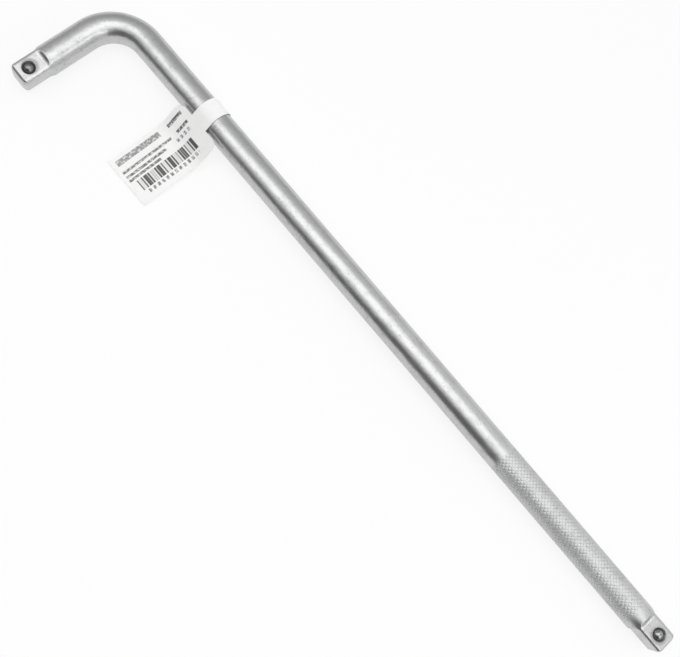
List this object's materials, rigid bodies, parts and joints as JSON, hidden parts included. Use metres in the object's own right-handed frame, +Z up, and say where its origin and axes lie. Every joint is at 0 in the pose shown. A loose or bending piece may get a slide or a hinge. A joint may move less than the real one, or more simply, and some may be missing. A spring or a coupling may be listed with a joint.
{
  "type": "l-shaped drive handle",
  "caption": "Chrome-plated round bar bent into an L, with a male square drive and sprung ball at each end, a knurled grip on the long arm and a folded paper tag.",
  "frame": {"origin": "on the ground, in the middle of the outline seen from above", "axes": "+X along the long arm from the bend to its tip, -Y along the short arm from the bend to its tip, +Z up, square to the plane of the L"},
  "size_m": [0.45, 0.0762, 0.0176],
  "materials": {
    "chrome_plate": "bright satin chrome on forged steel",
    "bearing_steel": "polished ball",
    "spring_steel": "bare wire",
    "white_paper": "matt coated paper"
  },
  "bodies": {
    "handle": {"l_bar": "chrome_plate", "hang_tag": "white_paper", "short_drive_spring": "spring_steel", "long_drive_spring": "spring_steel"},
    "short_ball": {"short_drive_ball": "bearing_steel"},
    "long_ball": {"long_drive_ball": "bearing_steel"}
  },
  "joints": [
    {"name": "short_ball_press", "type": "slide", "parent": "handle", "child": "short_ball", "axis": [-0.1736, 0, -0.9848], "range_m": [0, 0.00102], "stiffness_N_per_m": 1500, "springref_m": -0.003, "deforming": ["short_drive_spring"]},
    {"name": "long_ball_press", "type": "slide", "parent": "handle", "child": "long_ball", "axis": [0, 0, -1], "range_m": [0, 0.00102], "stiffness_N_per_m": 1500, "springref_m": -0.003, "deforming": ["long_drive_spring"]}
  ]
}
